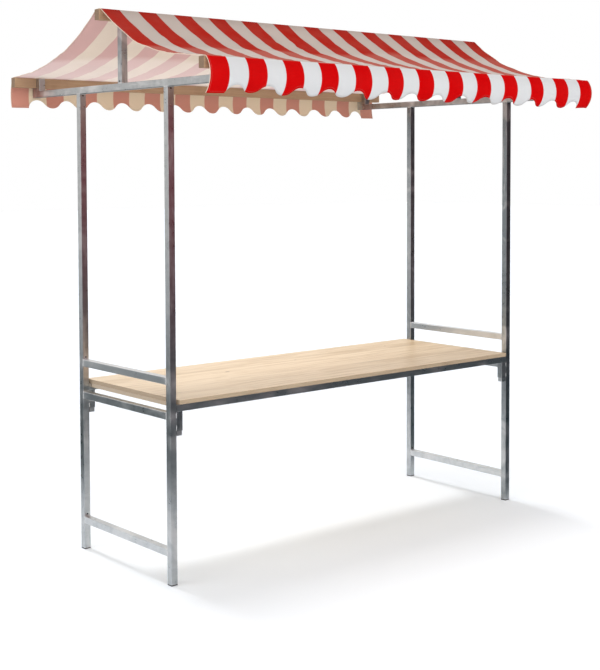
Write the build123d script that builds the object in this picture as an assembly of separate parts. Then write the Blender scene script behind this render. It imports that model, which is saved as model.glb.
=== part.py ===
from build123d import *
import os

# A free-standing market stall: two welded end frames of square galvanised tube, two table
# beams hooked between them, a wooden table board, three roof battens and a striped canopy.
# X runs along the counter, Y from the customers' side (-Y) to the seller's side (+Y), Z up.
# The origin is on the ground in the middle of the stall. All sizes are in millimetres.

# ---- end frames ----
tube = 30.0                      # outside of the square tube
tube_wall = 1.5
tube_corner = 2.0                # outside corner radius of every tube
clear_length = 2000.0            # between the inner faces of the two end frames
frame_depth = 700.0              # over the outer faces of the two posts of one frame
post_top = 2000.0
lower_rail_bottom = 116.0
table_rail_drop = 80.0           # of the table rail's underside below the counter's top
upper_rail_rise = 61.0           # of the upper rail's underside above the counter's top

# ---- feet ----
foot_thickness = 5.0
foot_plug_length = 20.0
foot_clearance = 0.3             # between the plug and the inside of the post

# ---- table ----
table_height = 750.0
board_thickness = 18.0
board_end_gap = 10.0             # from the board's end to the posts
board_overhang = 10.0            # past the beams' outer faces
cleat_width = 36.0
cleat_thickness = 17.0
cleat_gap = 2.0                  # from the cleat's ends to the beams
beam_end_gap = 0.5
socket_length = 77.0
socket_wall = 2.0
tongue_clearance = 0.5           # each side, in the socket
tongue_reach = 20.0              # how far the tongue comes out below the socket

# ---- roof frame ----
tie_height = 30.0
eave_reach = 356.0               # of the tie beam past the posts' outer faces
batten_width = 34.0
batten_height = 44.0
batten_overhang = 107.0          # past the end frames' outer faces
batten_lift = 14.0               # of the eave batten's underside over the tie beam's top
batten_clearance = 0.3
king_post_length = 250.0
cradle_plate = 3.0
cradle_cheek = 28.0              # height of the ridge cradle's cheeks
seat_wall = 2.0
stub_drop = 2.0                  # of the stub's top below the eave batten's top
stub_cap = 3.0

# ---- canopy ----
canvas_thickness = 2.0
canvas_clearance = 0.3
canvas_short = 14.0              # by how much the canvas is shorter than the battens
slope_power = 2.7                # how sharply the slope sags below a straight line
slope_straight = 0.2             # share of the fall that is straight
slope_points = 9
valance_drop = 135.0
front_bulge = 26.0               # outwards from the eave at the fullest point
back_bulge = 18.0
bulge_drop = 55.0                # of the fullest point below the eave
front_hem_out = -5.0             # of the hem, outwards from the eave
back_hem_out = 10.0
scallop_count = 14
scallop_period = 153.5
front_scallop_depth = 28.0       # less than at the back, because the front hem curls under
back_scallop_depth = 38.0
tab_gap = 46.0                   # from the first and last notch's middle to the straight tabs
hem_spare = 8.0                  # of the uncut valance below the hem

# ---- worked out from the sizes above ----
frame_x = clear_length / 2 + tube / 2
post_y = frame_depth / 2 - tube / 2
rail_length = frame_depth - 2 * tube
tie_top = post_top + tie_height
tie_end = frame_depth / 2 + eave_reach

table_rail_bottom = table_height - table_rail_drop
upper_rail_bottom = table_height + upper_rail_rise
board_bottom = table_height - board_thickness
beam_bottom = board_bottom - tube
board_length = clear_length - 2 * board_end_gap
board_depth = frame_depth + 2 * board_overhang
beam_length = clear_length - 2 * beam_end_gap
socket_bottom = beam_bottom - socket_length
tongue = tube - 2 * socket_wall - 2 * tongue_clearance
tongue_x = clear_length / 2 - tube / 2

batten_length = clear_length + 2 * tube + 2 * batten_overhang
eave_batten_bottom = tie_top + batten_lift
eave_batten_top = eave_batten_bottom + batten_height
eave_batten_inner = tie_end + batten_clearance
eave_batten_y = eave_batten_inner + batten_width / 2
eave_out = eave_batten_inner + batten_width
cradle_bottom = tie_top + king_post_length
ridge_batten_bottom = cradle_bottom + cradle_plate
ridge_batten_top = ridge_batten_bottom + batten_height
seat_depth = batten_width + 2 * batten_clearance

canvas_length = batten_length - canvas_short
ridge_skin = ridge_batten_top + canvas_clearance + canvas_thickness
eave_skin = eave_batten_top + canvas_clearance + canvas_thickness
hem_height = eave_skin - valance_drop

sides = {"left": -1, "right": 1}
ends = {"front": -1, "back": 1}
on_base = (Align.CENTER, Align.CENTER, Align.MIN)


def hollow_tube(width, height, length, wall):
    """A rectangular tube along +Z from the origin, centred on Z, with rounded corners."""
    inner_corner = max(tube_corner - wall, 0.3)
    outline = RectangleRounded(width, height, tube_corner)
    hole = RectangleRounded(width - 2 * wall, height - 2 * wall, inner_corner)
    return extrude(outline - hole, amount=length)


def along_y(solid):
    """Turn a solid that stands on the origin along +Z to lie along +Y, its X left as it is."""
    return Rot(-90, 0, 0) * solid


def along_x(solid):
    """Turn a solid that stands on the origin along +Z to lie along +X."""
    return Rot(0, 90, 0) * solid


def post(side, end):
    upright = hollow_tube(tube, tube, post_top - foot_thickness, tube_wall)
    return Pos(side * frame_x, end * post_y, foot_thickness) * upright


def foot(side, end):
    """A plastic cap: a plate under the post and a plug up inside it."""
    plug_size = tube - 2 * tube_wall - 2 * foot_clearance
    plate = extrude(RectangleRounded(tube, tube, tube_corner), amount=foot_thickness)
    plug = extrude(Rectangle(plug_size, plug_size), amount=foot_plug_length)
    cap = plate + Pos(0, 0, foot_thickness) * plug
    return Pos(side * frame_x, end * post_y, 0) * cap


def rail(side, bottom):
    """A cross rail between the two posts of an end frame."""
    bar = along_y(hollow_tube(tube, tube, rail_length, tube_wall))
    return Pos(side * frame_x, -rail_length / 2, bottom + tube / 2) * bar


def tie_beam(side):
    """The beam over the posts, which reaches out to both eaves."""
    bar = along_y(hollow_tube(tube, tie_height, 2 * tie_end, tube_wall))
    return Pos(side * frame_x, -tie_end, post_top + tie_height / 2) * bar


def king_post(side):
    return Pos(side * frame_x, 0, tie_top) * hollow_tube(tube, tube, king_post_length, tube_wall)


def ridge_cradle(side):
    """A plate on the king post with two cheeks that hold the ridge batten."""
    inside = batten_width + 2 * batten_clearance
    cheek_height = cradle_plate + cradle_cheek
    cradle = Box(tube, inside + 2 * cradle_plate, cradle_plate, align=on_base)
    for hand in ends.values():
        cheek = Box(tube, cradle_plate, cheek_height, align=on_base)
        cradle += Pos(0, hand * (inside + cradle_plate) / 2, 0) * cheek
    return Pos(side * frame_x, 0, cradle_bottom) * cradle


def eave_saddle(side, end):
    """The seat at a tie beam's end that carries an eave batten, and the stub that stops it."""
    stub_height = eave_batten_top - stub_drop - stub_cap - tie_top
    stub = hollow_tube(tube, tube, stub_height, seat_wall)
    cap = extrude(RectangleRounded(tube, tube, tube_corner), amount=stub_cap)
    stub += Pos(0, 0, stub_height) * cap
    seat_height = eave_batten_bottom - post_top
    seat = hollow_tube(tube, seat_depth, seat_height, seat_wall)
    saddle = Pos(0, end * (tie_end - tube / 2), tie_top) * stub
    saddle += Pos(0, end * (tie_end + seat_depth / 2), post_top) * seat
    web_height = eave_batten_bottom - tie_top
    web = Box(tube, seat_wall * 2, web_height, align=on_base)
    saddle += Pos(0, end * tie_end, tie_top) * web
    return Pos(side * frame_x, 0, 0) * saddle


def table_socket(side, end):
    """The upright sleeve on a post's inner face that takes a table beam's tongue."""
    sleeve = hollow_tube(tube, tube, socket_length, socket_wall)
    return Pos(side * tongue_x, end * post_y, socket_bottom) * sleeve


def table_beam(end):
    """A beam under the board with a tongue at each end, hanging through its socket."""
    beam = along_x(hollow_tube(tube, tube, beam_length, tube_wall))
    beam = Pos(-beam_length / 2, 0, beam_bottom + tube / 2) * beam
    tongue_length = socket_length + tongue_reach + tube_wall
    bar = extrude(Rectangle(tongue, tongue), amount=tongue_length)
    for side in sides.values():
        beam += Pos(side * tongue_x, 0, socket_bottom - tongue_reach) * bar
    return Pos(0, end * post_y, 0) * beam


def table_top():
    board = Box(board_length, board_depth, board_thickness, align=on_base)
    return Pos(0, 0, board_bottom) * board


def table_cleat(side):
    """The strip of wood under an end of the board, between the two beams."""
    cleat_length = frame_depth - 2 * tube - 2 * cleat_gap
    cleat = Box(cleat_width, cleat_length, cleat_thickness, align=on_base)
    cleat_x = side * (board_length - cleat_width) / 2
    return Pos(cleat_x, 0, board_bottom - cleat_thickness) * cleat


def batten(y, bottom):
    """A roof batten that lies along the stall."""
    bar = Box(batten_length, batten_width, batten_height, align=on_base)
    return Pos(0, y, bottom) * bar


def slope_height(share):
    """Height of the canvas's outside at a share of the way from the ridge to the eave."""
    left = 1 - share
    fall = slope_straight * left + (1 - slope_straight) * left ** slope_power
    return eave_skin + (ridge_skin - eave_skin) * fall


def canvas_sheet(section):
    """Extrude a section drawn in the YZ plane along the canvas's length."""
    sheet = extrude(section, amount=canvas_length, dir=(1, 0, 0))
    return Pos(-canvas_length / 2, 0, 0) * sheet


def roof_canvas(end):
    """One slope: flat over half of the ridge batten, then sagging down to the eave."""
    shoulder = batten_width / 2
    run = eave_out - shoulder
    shares = [step / (slope_points - 1) for step in range(slope_points)]
    outside = [(shoulder + share * run, slope_height(share)) for share in shares]
    inside = [(y, z - canvas_thickness) for y, z in reversed(outside)]
    outline = Curve() + [
        Line((0, ridge_skin), outside[0]),
        Spline(*outside),
        Line(outside[-1], inside[0]),
        Spline(*inside),
        Line(inside[-1], (0, ridge_skin - canvas_thickness)),
        Line((0, ridge_skin - canvas_thickness), (0, ridge_skin)),
    ]
    sheet = canvas_sheet(make_face(Plane.YZ * outline))
    return sheet if end > 0 else mirror(sheet, about=Plane.XZ)


def hem_cutter(end):
    """What the scalloped hem leaves out: the region below its wave, through one valance."""
    depth = front_scallop_depth if end < 0 else back_scallop_depth
    quarter = scallop_period / 4
    crest_height = hem_height + depth
    middle = hem_height + depth / 2
    first = -(scallop_count - 1) * scallop_period / 2
    crests = [first + index * scallop_period for index in range(scallop_count)]
    left_tab = (crests[0] - tab_gap, hem_height)
    right_tab = (crests[-1] + tab_gap, hem_height)
    wave = [TangentArc((crests[0], crest_height), left_tab, tangent=(-1, 0))]
    for here, following in zip(crests, crests[1:]):
        fall = (here + quarter, middle)
        rise = (following - quarter, middle)
        trough = ((here + following) / 2, hem_height)
        wave.append(TangentArc((here, crest_height), fall, tangent=(1, 0)))
        wave.append(ThreePointArc(fall, trough, rise))
        wave.append(TangentArc((following, crest_height), rise, tangent=(-1, 0)))
    wave.append(TangentArc((crests[-1], crest_height), right_tab, tangent=(1, 0)))
    floor = hem_height - 2 * hem_spare
    below = [
        right_tab,
        (canvas_length, hem_height),
        (canvas_length, floor),
        (-canvas_length, floor),
        (-canvas_length, hem_height),
        left_tab,
    ]
    region = make_face(Plane.XZ * (Curve() + wave + Polyline(*below)))
    return extrude(region, amount=eave_out + 2 * front_bulge, dir=(0, end, 0))


def valance(end):
    """The strip that hangs over an eave batten, bulging outwards, with a scalloped hem."""
    bulge_y = eave_out + (front_bulge if end < 0 else back_bulge)
    hem_y = eave_out + (front_hem_out if end < 0 else back_hem_out)
    bulge_z = eave_skin - bulge_drop
    uncut_z = hem_height - hem_spare
    top = (eave_out, eave_skin)
    inner_top = (eave_out, eave_skin - canvas_thickness)
    inner_hem = (hem_y - canvas_thickness, uncut_z)
    outline = Curve() + [
        ThreePointArc(top, (bulge_y, bulge_z), (hem_y, uncut_z)),
        Line((hem_y, uncut_z), inner_hem),
        ThreePointArc(inner_hem, (bulge_y - canvas_thickness, bulge_z), inner_top),
        Line(inner_top, top),
    ]
    sheet = canvas_sheet(make_face(Plane.YZ * outline))
    if end < 0:
        sheet = mirror(sheet, about=Plane.XZ)
    return sheet - hem_cutter(end)


nodes = {}
for side_name, side in sides.items():
    nodes[side_name + "_lower_rail"] = rail(side, lower_rail_bottom)
    nodes[side_name + "_table_rail"] = rail(side, table_rail_bottom)
    nodes[side_name + "_upper_rail"] = rail(side, upper_rail_bottom)
    nodes[side_name + "_tie_beam"] = tie_beam(side)
    nodes[side_name + "_king_post"] = king_post(side)
    nodes[side_name + "_ridge_cradle"] = ridge_cradle(side)
    nodes[side_name + "_table_cleat"] = table_cleat(side)
    for end_name, end in ends.items():
        corner = side_name + "_" + end_name
        nodes[corner + "_post"] = post(side, end)
        nodes[corner + "_foot"] = foot(side, end)
        nodes[corner + "_table_socket"] = table_socket(side, end)
        nodes[corner + "_eave_saddle"] = eave_saddle(side, end)
for end_name, end in ends.items():
    nodes[end_name + "_table_beam"] = table_beam(end)
    nodes[end_name + "_eave_batten"] = batten(end * eave_batten_y, eave_batten_bottom)
    nodes[end_name + "_roof_canvas"] = roof_canvas(end)
    nodes[end_name + "_valance"] = valance(end)
nodes["table_top"] = table_top()
nodes["ridge_batten"] = batten(0, ridge_batten_bottom)

os.makedirs("parts", exist_ok=True)
for name, solid in nodes.items():
    export_step(solid, "parts/" + name + ".step")
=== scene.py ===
import math

import bmesh
import bpy
from bpy.props import FloatProperty, FloatVectorProperty, IntProperty, PointerProperty
from mathutils import Matrix, Vector, noise


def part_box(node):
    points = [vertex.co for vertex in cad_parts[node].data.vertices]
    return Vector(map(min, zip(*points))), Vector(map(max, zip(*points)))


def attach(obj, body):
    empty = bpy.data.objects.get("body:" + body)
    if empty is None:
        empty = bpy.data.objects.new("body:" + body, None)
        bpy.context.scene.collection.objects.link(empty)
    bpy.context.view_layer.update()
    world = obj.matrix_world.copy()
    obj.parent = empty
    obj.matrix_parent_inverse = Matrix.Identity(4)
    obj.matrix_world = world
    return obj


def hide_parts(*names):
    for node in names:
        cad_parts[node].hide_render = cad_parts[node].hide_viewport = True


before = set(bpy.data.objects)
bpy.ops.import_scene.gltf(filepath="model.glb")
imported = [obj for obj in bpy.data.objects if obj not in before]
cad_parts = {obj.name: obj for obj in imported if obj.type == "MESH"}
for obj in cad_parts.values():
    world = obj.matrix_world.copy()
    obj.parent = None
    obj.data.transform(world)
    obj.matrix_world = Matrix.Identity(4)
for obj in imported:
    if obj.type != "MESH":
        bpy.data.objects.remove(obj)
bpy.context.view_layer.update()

bl_info = {
    "name": "Market stall",
    "version": (1, 0, 0),
    "blender": (4, 5, 0),
    "location": "View3D > Sidebar > Market stall",
    "description": "Dresses a packed market stall frame with its canopy, wood, steel and studio",
    "category": "Object",
}

MM = 0.001
SIDES = {"left": -1, "right": 1}
ENDS = {"front": -1, "back": 1}
RAILS = ("lower_rail", "table_rail", "upper_rail")

# Corners nearer than this are one corner.
TOUCHING = 0.01 * MM

# Points round the section of a weld bead, the last of which closes it.
BEAD_SIDES = 7

# Threads of the canvas to a metre, as the weave and its stitches show them.
THREADS = 210.0

# Knots of the table board: place along it, place across it and radius.
KNOTS = ((-0.414, 0.089, 7 * MM), (0.05, 0.16, 4 * MM), (0.71, 0.22, 4 * MM))

# Lamps: name, the setting of its strength, the direction that it comes from and its spread.
LAMPS = (("key_lamp", "key", (0.01, 0.575, 0.815), math.radians(9)),
         ("fill_lamp", "fill", (-0.32, -0.86, 0.40), math.radians(50)),
         ("side_lamp", "side", (-0.90, 0.10, 0.42), math.radians(50)))


# ---------------------------------------------------------------- sizes and colours

def length(name, description, default):
    """A length in metres."""
    return FloatProperty(name=name, description=description, default=default, unit="LENGTH")


def colour(name, description, default):
    """A colour that a surface is painted with."""
    return FloatVectorProperty(name=name, description=description, default=default, size=3,
                               subtype="COLOR", min=0.0, max=1.0)


class CanopySettings(bpy.types.PropertyGroup):
    """Sizes and colours of the striped canopy."""
    stripes: IntProperty(name="Stripes", description="Stripes along the canopy", default=25)
    cloth: length("Cloth", "Thickness of the canvas", 1.2 * MM)
    sag_power: FloatProperty(name="Sag", description="How sharply a slope falls near the ridge",
                             default=2.7)
    straight: FloatProperty(name="Straight share", description="Share of the fall that is straight",
                            default=0.2, subtype="FACTOR")
    front_bulge: length("Front bulge", "How far the front valance stands out", 26 * MM)
    back_bulge: length("Back bulge", "How far the back valance stands out", 18 * MM)
    bulge_drop: length("Bulge drop", "Fullest point below the eave", 55 * MM)
    front_hem: length("Front hem", "The front hem out from the eave", -5 * MM)
    back_hem: length("Back hem", "The back hem out from the eave", 10 * MM)
    scallops: IntProperty(name="Scallops", description="Notches along each hem", default=14)
    scallop_period: length("Scallop period", "From one notch to the next", 153.5 * MM)
    scallop_depth: length("Scallop depth", "Depth of a notch, along the cloth", 38 * MM)
    tab: length("Tab", "From the outer notch to the straight tab", 46 * MM)
    fold: length("Edge bend", "How softly the cloth bends over a batten's edge", 9 * MM)
    # The valance's colours are the cloth's own. The roof's are the same cloth with painted shade
    # outside and painted light and shade inside. Above each eave, up to the fade height, the eave
    # colours paint more light: a sheen outside and brighter light inside.
    fade: length("Fade", "How far above an eave the painted sheen reaches", 0.50)
    red: colour("Red", "Printed stripe on the valance, outside", (0.67, 0.002, 0.003))
    roof_red: colour("Roof red", "The same on the roof", (0.425, 0.017, 0.010))
    eave_sheen_red: colour("Eave red", "The same, with a painted sheen above an eave", (0.50, 0.165, 0.13))
    white: colour("White", "White stripe on the valance, outside", (0.77, 0.77, 0.775))
    roof_white: colour("Roof white", "The same on the roof", (0.545, 0.46, 0.415))
    eave_sheen_white: colour("Eave white", "The same above an eave", (0.63, 0.55, 0.51))
    pink: colour("Pink", "Red stripe inside the valance", (0.62, 0.28, 0.21))
    roof_pink: colour("Roof pink", "The same inside the roof", (0.62, 0.385, 0.36))
    eave_lit_pink: colour("Eave pink", "The same inside, above an eave", (0.80, 0.62, 0.60))
    cream: colour("Cream", "White stripe inside the valance", (0.80, 0.65, 0.47))
    roof_cream: colour("Roof cream", "The same inside the roof", (0.73, 0.615, 0.51))
    eave_lit_cream: colour("Eave cream", "The same inside, above an eave", (0.87, 0.76, 0.69))
    edging: colour("Edging", "Rolled edge at the gables", (0.82, 0.66, 0.52))


class SteelSettings(bpy.types.PropertyGroup):
    """Colours and details of the galvanised frame."""
    dark: colour("Dark zinc", "Dull blue-grey zinc", (0.25, 0.28, 0.30))
    light: colour("Light zinc", "Bright zinc", (0.71, 0.725, 0.735))
    bloom: colour("Zinc bloom", "Chalky patches and runs", (0.80, 0.80, 0.80))
    spot: colour("Zinc spots", "Dark specks and ash stains", (0.10, 0.10, 0.11))
    bead: length("Weld bead", "Half the width of a weld bead", 2.6 * MM)
    proud: length("Weld height", "How far a weld stands proud", 1.3 * MM)
    vent: length("Vent hole", "Radius of a vent hole", 3.6 * MM)
    hole_shade: colour("Inside", "Painted shade inside a vent hole", (0.012, 0.012, 0.014))


class WoodSettings(bpy.types.PropertyGroup):
    """Colours and details of the table and the battens."""
    pale: colour("Pale wood", "Early wood of the board", (0.92, 0.75, 0.53))
    warm: colour("Warm wood", "Late wood of the board", (0.67, 0.49, 0.285))
    # The board edge is the board's own wood, darker as painted shade on its sides.
    edge: colour("Board edge", "Edge of the board, darkened as painted shade", (0.545, 0.42, 0.285))
    end: colour("Board end", "End grain of the board", (0.455, 0.355, 0.255))
    end_dark: colour("Board end rings", "Rings of the end grain", (0.36, 0.26, 0.17))
    cleat: colour("Cleat", "Planed cleat under the board", (0.485, 0.405, 0.33))
    batten: colour("Batten", "Rough sawn batten", (0.50, 0.33, 0.20))
    batten_dark: colour("Batten grain", "Dark grain of a batten", (0.33, 0.20, 0.115))
    batten_end: colour("Batten end", "End grain of a batten", (0.30, 0.195, 0.12))
    batten_rings: colour("Batten rings", "Rings of a batten's end", (0.15, 0.09, 0.05))
    stave: length("Stave", "Width of the glued staves", 92 * MM)
    easing: length("Eased edge", "Bevel of a wooden edge", 1.5 * MM)


class FootSettings(bpy.types.PropertyGroup):
    """The plastic feet."""
    plastic: colour("Plastic", "Moulded plastic", (0.035, 0.035, 0.037))
    easing: length("Eased edge", "Bevel of a foot's edge", 0.8 * MM)


class StudioSettings(bpy.types.PropertyGroup):
    """Camera, floor and lamps."""
    eye: FloatVectorProperty(name="Eye", description="Where the camera stands", size=3,
                             subtype="TRANSLATION", default=(-3.9104, -4.5502, 1.6773))
    heading: FloatProperty(name="Heading", description="From +Y towards +X", subtype="ANGLE",
                           default=math.radians(40.292))
    pitch: FloatProperty(name="Pitch", description="Above the level", subtype="ANGLE",
                         default=math.radians(-2.684))
    roll: FloatProperty(name="Roll", description="Turn about the line of sight", subtype="ANGLE",
                        default=math.radians(-0.182))
    lens: FloatProperty(name="Lens", description="Focal length in millimetres", default=68.85)
    rise: FloatProperty(name="Rise", description="Vertical shift of the lens", default=-0.16)
    floor: colour("Floor", "Pale studio floor", (0.85, 0.88, 0.915))
    floor_lift: FloatProperty(name="Floor lift", default=0.19,
                              description="How much brighter the floor is as it is seen")
    ambient: FloatProperty(name="Ambient", description="Level of the light all round", default=0.57)
    key: FloatProperty(name="Key", description="Strength of the soft light from behind and above",
                       default=1.05)
    fill: FloatProperty(name="Fill", description="Strength of the soft light from in front",
                        default=1.06)
    side: FloatProperty(name="Side", description="Strength of the light from the left",
                        default=0.8)


class StallSettings(bpy.types.PropertyGroup):
    """All settings of the market stall."""
    canopy: PointerProperty(type=CanopySettings)
    steel: PointerProperty(type=SteelSettings)
    wood: PointerProperty(type=WoodSettings)
    foot: PointerProperty(type=FootSettings)
    studio: PointerProperty(type=StudioSettings)


# ---------------------------------------------------------------- materials

class Signal:
    """A socket of a look's node tree. Python's operators on it add Math nodes."""

    def __init__(self, look, socket):
        self.look, self.socket = look, socket

    def maths(self, operation, *values, clamp=False):
        """Add a Math node on some values, of which this signal is one."""
        return self.look.signal("ShaderNodeMath", {"operation": operation, "use_clamp": clamp},
                                dict(enumerate(values)))

    def __add__(self, other):
        return self.maths("ADD", self, other)

    __radd__ = __add__

    def __sub__(self, other):
        return self.maths("SUBTRACT", self, other)

    def __rsub__(self, other):
        return self.maths("SUBTRACT", other, self)

    def __mul__(self, other):
        return self.maths("MULTIPLY", self, other)

    __rmul__ = __mul__

    def __truediv__(self, other):
        return self.maths("DIVIDE", self, other)

    def __pow__(self, other):
        return self.maths("POWER", self, other)

    def __abs__(self):
        return self.maths("ABSOLUTE", self)

    def floor(self):
        return self.maths("FLOOR", self)

    def fract(self):
        return self.maths("FRACT", self)

    def smaller(self, other):
        return self.maths("MINIMUM", self, other)

    def larger(self, other):
        return self.maths("MAXIMUM", self, other)

    def above(self, edge, softness):
        """0 below edge and 1 above it, over a width of softness."""
        return self.maths("ADD", (self - edge) / softness, 0.5, clamp=True)


class Look:
    """The node tree of a material, or of the world, under construction."""

    def __init__(self, owner):
        self.owner = owner
        self.owner.use_nodes = True
        self.tree = self.owner.node_tree
        self.tree.nodes.clear()

    def add(self, kind, settings=None, sockets=None):
        """Add a node: its type, its settings, then the values or links of its sockets."""
        node = self.tree.nodes.new(kind)
        for name, value in (settings or {}).items():
            setattr(node, name, value)
        for name, value in (sockets or {}).items():
            socket = node.inputs[name]
            if isinstance(value, Signal):
                self.tree.links.new(value.socket, socket)
            elif hasattr(value, "__len__") and len(socket.default_value) > len(value):
                socket.default_value = (*value, 1.0)
            else:
                socket.default_value = value
        return node

    def signal(self, kind, settings=None, sockets=None, output=0):
        """Add a node and take one of its outputs."""
        return Signal(self, self.add(kind, settings, sockets).outputs[output])

    def place(self, scale=(1, 1, 1), location=(0, 0, 0), rotation=(0, 0, 0), uv=None):
        """Coordinates of a surface, from its object or its UV map."""
        if uv:
            start = self.signal("ShaderNodeUVMap", {"uv_map": uv})
        else:
            start = self.signal("ShaderNodeTexCoord", output="Object")
        return self.signal("ShaderNodeMapping", None,
                           {"Vector": start, "Location": location, "Rotation": rotation,
                            "Scale": scale})

    def parts(self, vector):
        """The X, Y and Z of a vector."""
        node = self.add("ShaderNodeSeparateXYZ", None, {0: vector})
        return [Signal(self, output) for output in node.outputs]

    def joined(self, x, y, z):
        """A vector from its X, Y and Z."""
        return self.signal("ShaderNodeCombineXYZ", None, {0: x, 1: y, 2: z})

    def noise(self, vector, scale, detail=2.0, roughness=0.5, distortion=0.0):
        """Soft noise, from 0 to 1 round a middle of 0.5."""
        return self.signal("ShaderNodeTexNoise", None,
                           {"Vector": vector, "Scale": scale, "Detail": detail,
                            "Roughness": roughness, "Distortion": distortion})

    def waves(self, vector, kind, direction, scale, distortion, profile="SIN", more=None):
        """Bands or rings across one direction."""
        settings = {"wave_type": kind, "wave_profile": profile,
                    f"{kind.lower()}_direction": direction}
        sockets = {"Vector": vector, "Scale": scale, "Distortion": distortion}
        return self.signal("ShaderNodeTexWave", settings, {**sockets, **(more or {})})

    def mix(self, factor, first, second, blend="MIX"):
        """A colour between two colours."""
        return self.signal("ShaderNodeMix", {"data_type": "RGBA", "blend_type": blend},
                           {0: factor, 6: first, 7: second}, output=2)

    def bump(self, height, strength, distance):
        """A normal that leans as a height of 0 to 1 does, at a distance in metres."""
        return self.signal("ShaderNodeBump", None,
                           {"Height": height, "Strength": strength, "Distance": distance})

    def finish(self, shader):
        """End the material with a shader and hand it over."""
        self.add("ShaderNodeOutputMaterial", None, {"Surface": shader})
        return self.owner

    def principled(self, sockets):
        """End the material with one principled shader and hand it over."""
        return self.finish(self.signal("ShaderNodeBsdfPrincipled", None, sockets))


def steel_look(settings, name, along, lift, joints=(), shade_above=None):
    """Hot dipped zinc on tubes that lie along one axis.

    lift is painted light or shade: it makes this copy of the zinc brighter or darker. joints are
    places along the axis, on either side of the middle, where the zinc is chalky beside a weld. The
    last argument, if given, is a height over which painted shade darkens the zinc.
    """
    look = Look(bpy.data.materials.new(name))
    axis = "XYZ".index(along)
    stretch = [1.0, 1.0, 1.0]
    stretch[axis] = 0.16
    plain = look.place()
    drawn = look.place(scale=stretch)
    slant = look.place(scale=(0.3, 1.0, 1.0), rotation=(0.0, math.radians(40), math.radians(40)))
    blotch = look.noise(plain, 24.0, 3.0).above(0.5, 0.4)
    run = look.noise(drawn, 60.0).above(0.53, 0.36)
    flow = look.noise(slant, 42.0, 2.5).above(0.52, 0.24)
    slow = look.noise(drawn, 9.0).above(0.5, 0.5)
    patch = look.noise(plain, 7.5, 2.0, 0.55, 0.4).above(0.6, 0.1)
    smear = look.noise(drawn, 26.0, 3.0, 0.65).above(0.62, 0.12)
    cells = look.signal("ShaderNodeTexVoronoi", {"feature": "F1"},
                        {"Vector": plain, "Scale": 120.0, "Randomness": 1.0}, output="Color")
    spangle = look.signal("ShaderNodeSeparateColor", None, {0: cells})
    mottle = blotch * 0.26 + run * 0.2 + flow * 0.32 + slow * 0.18 + spangle * 0.04
    # lift is painted light or shade: the same zinc made lighter or darker on this part.
    tone = mottle * 0.38 + 0.34 + lift
    if shade_above is not None:
        # Painted shade: the zinc darkens above the given height.
        shade_depth, softness = 0.6, 0.5
        tone = tone - look.parts(plain)[2].above(shade_above, softness) * shade_depth
    body = look.mix(tone, settings.dark, settings.light)
    chalk = patch * 0.4 + smear * 0.4
    place = abs(look.parts(plain)[axis])
    for joint in joints:
        beside = 1.0 - abs(place - joint).above(22 * MM, 30 * MM)
        chalk = chalk + beside * (blotch * 0.4 + 0.05)
    bloom = chalk.smaller(0.85)
    shade = look.mix(bloom, body, settings.bloom)
    speck = look.noise(plain, 110.0).above(0.71, 0.05)
    shade = look.mix(speck * 0.25, shade, settings.spot)
    relief = blotch * 0.3 + run * 0.4 + flow * 0.3
    return look.principled({"Base Color": shade, "Metallic": 1.0,
                            "Roughness": 0.25 + mottle * 0.10 + bloom * 0.20,
                            "Normal": look.bump(relief, 0.04, 0.4 * MM)})


def weld_look(settings):
    """Zinc over a rippled weld bead, duller than the tube."""
    look = Look(bpy.data.materials.new("weld zinc"))
    grain = look.noise(look.place(), 220.0, 3.0, 0.6)
    shade = look.mix(grain.above(0.5, 0.3), 0.75 * settings.light, settings.bloom)
    return look.principled({"Base Color": shade, "Metallic": 0.7, "Roughness": 0.48 + grain * 0.14,
                            "Normal": look.bump(grain, 0.4, 0.3 * MM)})


def hole_shade_look(settings):
    """Painted shade on a flat disc, standing for the dark inside of a tube seen through a vent hole.
    """
    look = Look(bpy.data.materials.new("tube inside"))
    dust = look.noise(look.place(), 400.0)
    shade = look.mix(dust, settings.hole_shade, 2.2 * settings.hole_shade)
    return look.principled({"Base Color": shade, "Roughness": 0.9, "Specular IOR Level": 0.1})


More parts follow.
